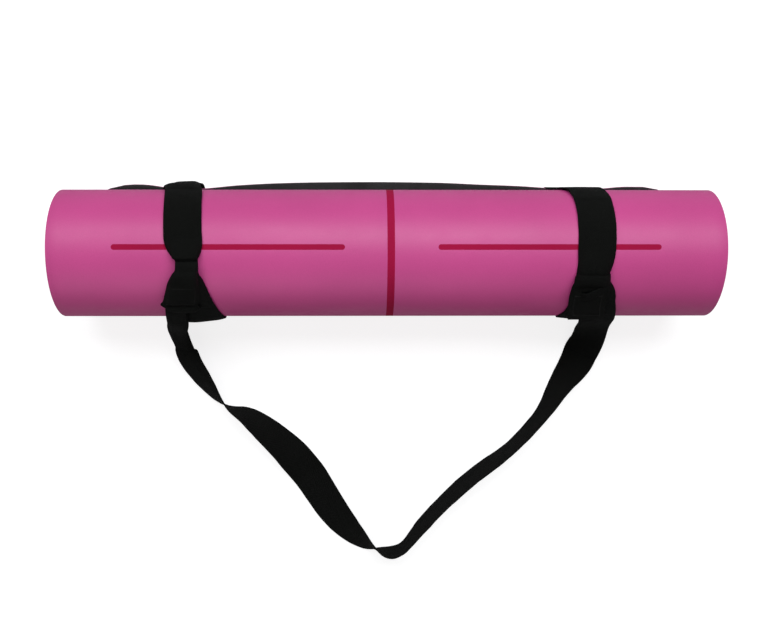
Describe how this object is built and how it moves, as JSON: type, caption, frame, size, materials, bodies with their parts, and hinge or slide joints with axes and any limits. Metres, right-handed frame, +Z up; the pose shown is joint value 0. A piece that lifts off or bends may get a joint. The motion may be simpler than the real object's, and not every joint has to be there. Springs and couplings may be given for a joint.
{
  "type": "exercise mat",
  "caption": "Two-layer exercise mat wound into a roll, held by the two nooses of a twisted webbing carry strap that lies beside it.",
  "frame": {"origin": "on the floor under the middle of the roll: z = 0 is where the two nooses touch the floor, 2.1 mm under the mat's flat underside", "axes": "+X along the roll, towards the end where the shorter straight line starts nearer the middle line; +Y towards the mat's free end, away from the carrying part of the strap; +Z up"},
  "size_m": [0.68, 0.4263, 0.1425],
  "materials": {
    "top_polyurethane": "satin",
    "base_rubber": "matte",
    "line_ink": "matte",
    "webbing": "matte",
    "thread": "matte"
  },
  "bodies": {
    "mat": {"mat_base_layer": "base_rubber", "mat_top_layer": "top_polyurethane", "center_line": "line_ink", "cross_line_left": "line_ink", "cross_line_right": "line_ink"},
    "nooses": {"left_noose_band": "webbing", "left_eye": "webbing", "left_eye_stitching": "thread", "right_noose_band": "webbing", "right_eye": "webbing", "right_eye_stitching": "thread"},
    "carry_part": {"carry_strap": "webbing"}
  },
  "joints": [
    {"name": "noose_slide", "type": "slide", "parent": "mat", "child": "nooses", "axis": [1, 0, 0], "range_m": [-0.1, 0.1]},
    {"name": "carry_swing", "type": "hinge", "parent": "nooses", "child": "carry_part", "pos_m": [0, -0.0578, 0.1134], "axis": [-1, 0, 0], "range_deg": [0, 130]}
  ]
}
